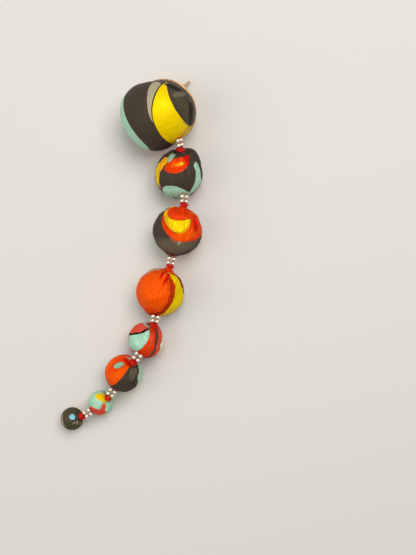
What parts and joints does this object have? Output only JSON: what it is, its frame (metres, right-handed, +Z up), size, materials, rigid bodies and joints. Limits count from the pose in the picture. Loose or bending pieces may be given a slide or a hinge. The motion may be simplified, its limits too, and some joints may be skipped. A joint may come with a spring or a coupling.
{
  "type": "fabric ball earring",
  "caption": "Long dangling ear stud of silk-covered balls in falling size, each gathered into a thread-bound neck and joined to the next by small drilled metal beads.",
  "frame": {"origin": "centre of the box round the laid-out earring, on the surface that it lies on", "axes": "+Y along the chain towards the top ball with the ear post, +X to the right as seen from above, +Z up from the surface"},
  "size_m": [0.0478, 0.1201, 0.0235],
  "materials": {
    "silk_print": "printed silk satin with a soft sheen",
    "silk_thread": "red silk thread",
    "gold_plate": "polished gold-tone plating",
    "silver_plate": "bright silver-tone plating, lightly worn"
  },
  "bodies": {
    "root": {"dome_ball": "silk_print", "fabric_ball_2": "silk_print", "fabric_ball_3": "silk_print", "fabric_ball_4": "silk_print", "fabric_ball_5": "silk_print", "fabric_ball_6": "silk_print", "fabric_ball_7": "silk_print", "fabric_ball_8": "silk_print", "post_back": "gold_plate", "neck_binding_2": "silk_thread", "neck_binding_3": "silk_thread", "neck_binding_4": "silk_thread", "neck_binding_5": "silk_thread", "neck_binding_6": "silk_thread", "neck_binding_7": "silk_thread", "neck_binding_8": "silk_thread", "link_thread_1": "silk_thread", "link_thread_2": "silk_thread", "link_thread_3": "silk_thread", "link_thread_4": "silk_thread", "link_thread_5": "silk_thread", "link_thread_6": "silk_thread", "link_thread_7": "silk_thread", "silver_bead_1_1": "silver_plate", "silver_bead_1_2": "silver_plate", "silver_bead_1_3": "silver_plate", "silver_bead_1_4": "silver_plate", "silver_bead_2_1": "silver_plate", "silver_bead_2_2": "silver_plate", "silver_bead_2_3": "silver_plate", "silver_bead_2_4": "silver_plate", "silver_bead_3_1": "silver_plate", "silver_bead_3_2": "silver_plate", "silver_bead_3_3": "silver_plate", "silver_bead_3_4": "silver_plate", "silver_bead_4_1": "silver_plate", "silver_bead_4_2": "silver_plate", "silver_bead_4_3": "silver_plate", "silver_bead_4_4": "silver_plate", "silver_bead_5_1": "silver_plate", "silver_bead_5_2": "silver_plate", "silver_bead_5_3": "silver_plate", "silver_bead_5_4": "silver_plate", "silver_bead_6_1": "silver_plate", "silver_bead_6_2": "silver_plate", "silver_bead_6_3": "silver_plate", "silver_bead_6_4": "silver_plate", "silver_bead_7_1": "silver_plate", "silver_bead_7_2": "silver_plate", "silver_bead_7_3": "silver_plate", "silver_bead_7_4": "silver_plate"}
  },
  "joints": []
}
